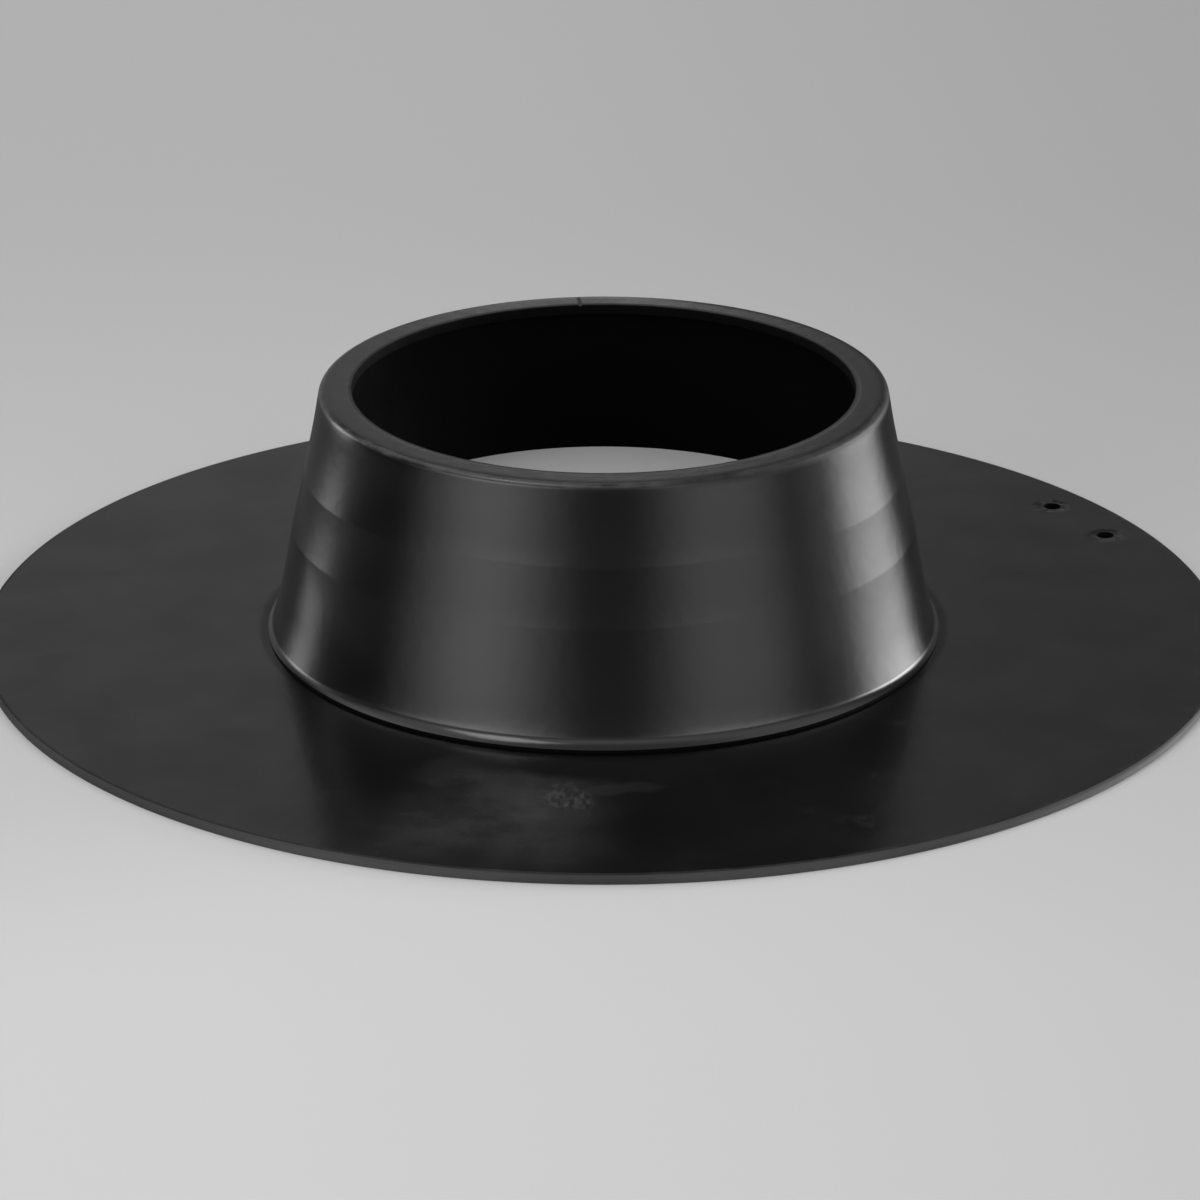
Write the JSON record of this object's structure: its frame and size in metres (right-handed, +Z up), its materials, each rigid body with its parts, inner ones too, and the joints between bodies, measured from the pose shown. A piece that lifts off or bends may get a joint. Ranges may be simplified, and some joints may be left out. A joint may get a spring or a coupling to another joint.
{
  "type": "pitch pocket",
  "caption": "Black moulded pitch pocket: a truncated cone collar with a turned-in rim on a wide flat round flange, open right through for pipes and poured roof sealer.",
  "frame": {"origin": "centre of the flange underside, on the cone axis", "axes": "+Z up the cone axis; -Y towards the viewer of the picture; +X to the viewer's right"},
  "size_m": [0.5, 0.5, 0.105],
  "materials": {
    "black_polymer": "satin black moulded polymer"
  },
  "bodies": {
    "root": {"moulded_pocket": "black_polymer"}
  },
  "joints": []
}
